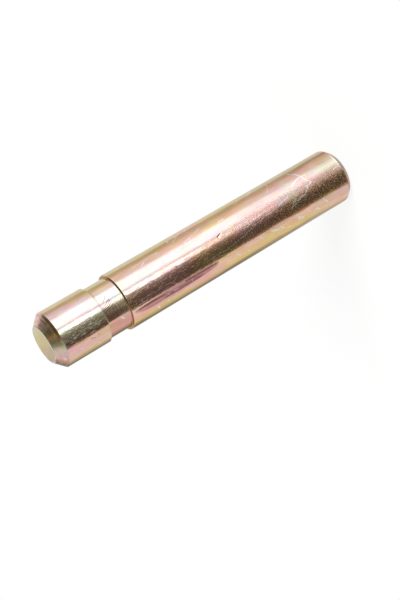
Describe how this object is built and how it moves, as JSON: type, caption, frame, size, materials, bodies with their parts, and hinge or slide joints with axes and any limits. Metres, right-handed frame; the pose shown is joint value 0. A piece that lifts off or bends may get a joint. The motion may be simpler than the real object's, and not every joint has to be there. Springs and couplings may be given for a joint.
{
  "type": "bucket tooth pin",
  "caption": "Turned steel pin with a tapered nose and a spring-ring groove, which locks a digging tooth to its adapter on an excavator bucket.",
  "frame": {"origin": "centre of the plain end's flat face, on which the pin stands", "axes": "+Z along the pin's axis, from the plain end up to the nose"},
  "size_m": [0.022, 0.022, 0.1345],
  "materials": {
    "yellow_zinc_steel": "turned steel, zinc plated with a yellow iridescent chromate, lightly scratched"
  },
  "bodies": {
    "root": {"tooth_pin": "yellow_zinc_steel"}
  },
  "joints": []
}
